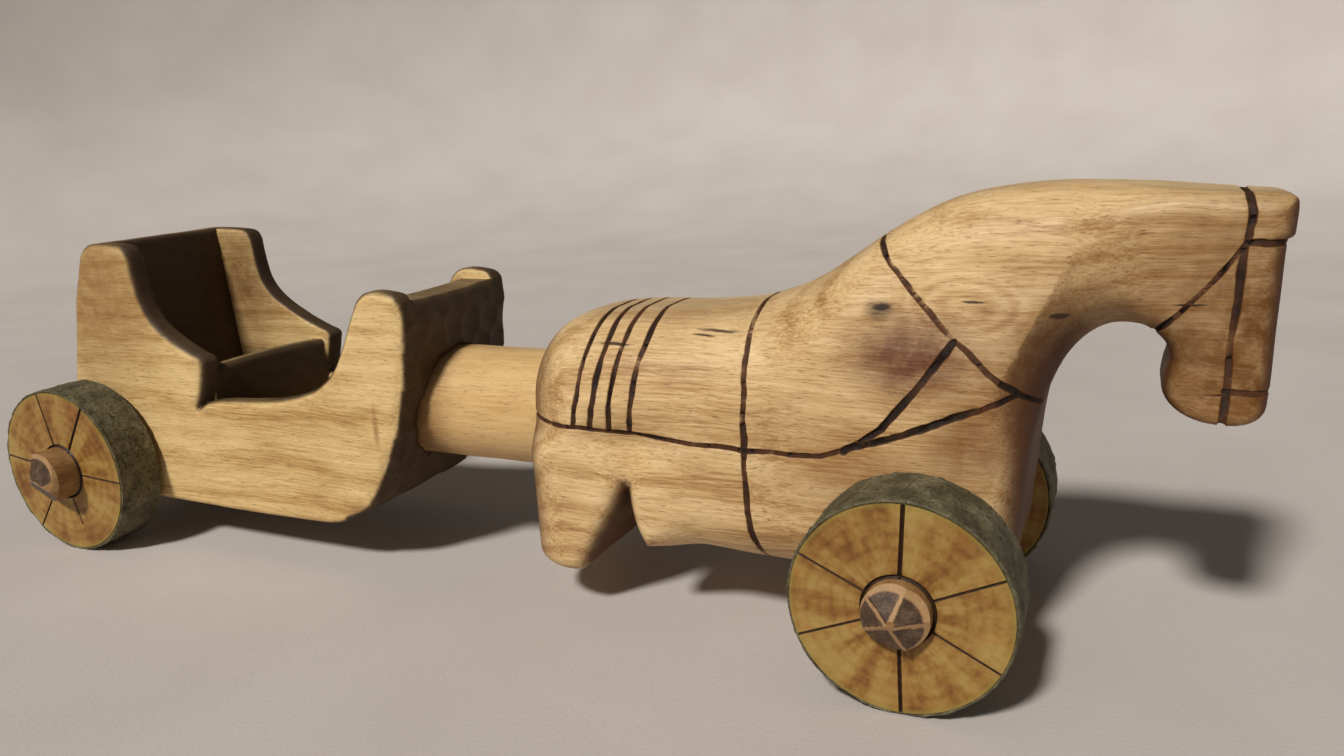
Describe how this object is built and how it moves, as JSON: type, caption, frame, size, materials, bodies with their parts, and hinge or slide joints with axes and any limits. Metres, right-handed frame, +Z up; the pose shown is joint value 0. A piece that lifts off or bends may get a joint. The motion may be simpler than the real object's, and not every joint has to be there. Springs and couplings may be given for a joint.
{
  "type": "horse and carriage pull-along toy",
  "caption": "Carved wooden horse drawing an open carriage with a seat and a dashboard, joined by a thick round drawbar, on branch-slice wheels that turn on whittled pegs.",
  "frame": {"origin": "on the surface that the wheels stand on, under the middle of the toy's length and width", "axes": "+X towards the horse's nose, +Y towards the horse's left side, +Z up"},
  "size_m": [0.3686, 0.1042, 0.1115],
  "materials": {
    "horse_wood": "oiled and polished, golden brown, with cut dark grooves",
    "carriage_wood": "oiled, golden brown on long grain and dark brown on end grain",
    "bar_wood": "oiled, light golden brown",
    "slice_wood": "sanded and oiled end grain, yellow brown",
    "bark": "natural bark, dark grey green",
    "peg_wood": "whittled and oiled, dark facets with light edges"
  },
  "bodies": {
    "chassis": {"horse_body": "horse_wood", "drawbar": "bar_wood", "carriage_body": "carriage_wood", "front_left_axle_peg": "peg_wood", "front_right_axle_peg": "peg_wood", "rear_left_axle_peg": "peg_wood", "rear_right_axle_peg": "peg_wood"},
    "front_left_wheel": {"front_left_wheel_disc": "slice_wood", "front_left_wheel_bark": "bark"},
    "front_right_wheel": {"front_right_wheel_disc": "slice_wood", "front_right_wheel_bark": "bark"},
    "rear_left_wheel": {"rear_left_wheel_disc": "slice_wood", "rear_left_wheel_bark": "bark"},
    "rear_right_wheel": {"rear_right_wheel_disc": "slice_wood", "rear_right_wheel_bark": "bark"}
  },
  "joints": [
    {"name": "front_left_wheel_spin", "type": "hinge", "parent": "chassis", "child": "front_left_wheel", "pos_m": [0.114, 0.0363, 0.025], "axis": [0, 1, 0], "continuous": true},
    {"name": "front_right_wheel_spin", "type": "hinge", "parent": "chassis", "child": "front_right_wheel", "pos_m": [0.114, -0.0363, 0.025], "axis": [0, 1, 0], "continuous": true},
    {"name": "rear_left_wheel_spin", "type": "hinge", "parent": "chassis", "child": "rear_left_wheel", "pos_m": [-0.1573, 0.03475, 0.027], "axis": [0, 1, 0], "continuous": true},
    {"name": "rear_right_wheel_spin", "type": "hinge", "parent": "chassis", "child": "rear_right_wheel", "pos_m": [-0.1573, -0.03475, 0.027], "axis": [0, 1, 0], "continuous": true}
  ]
}
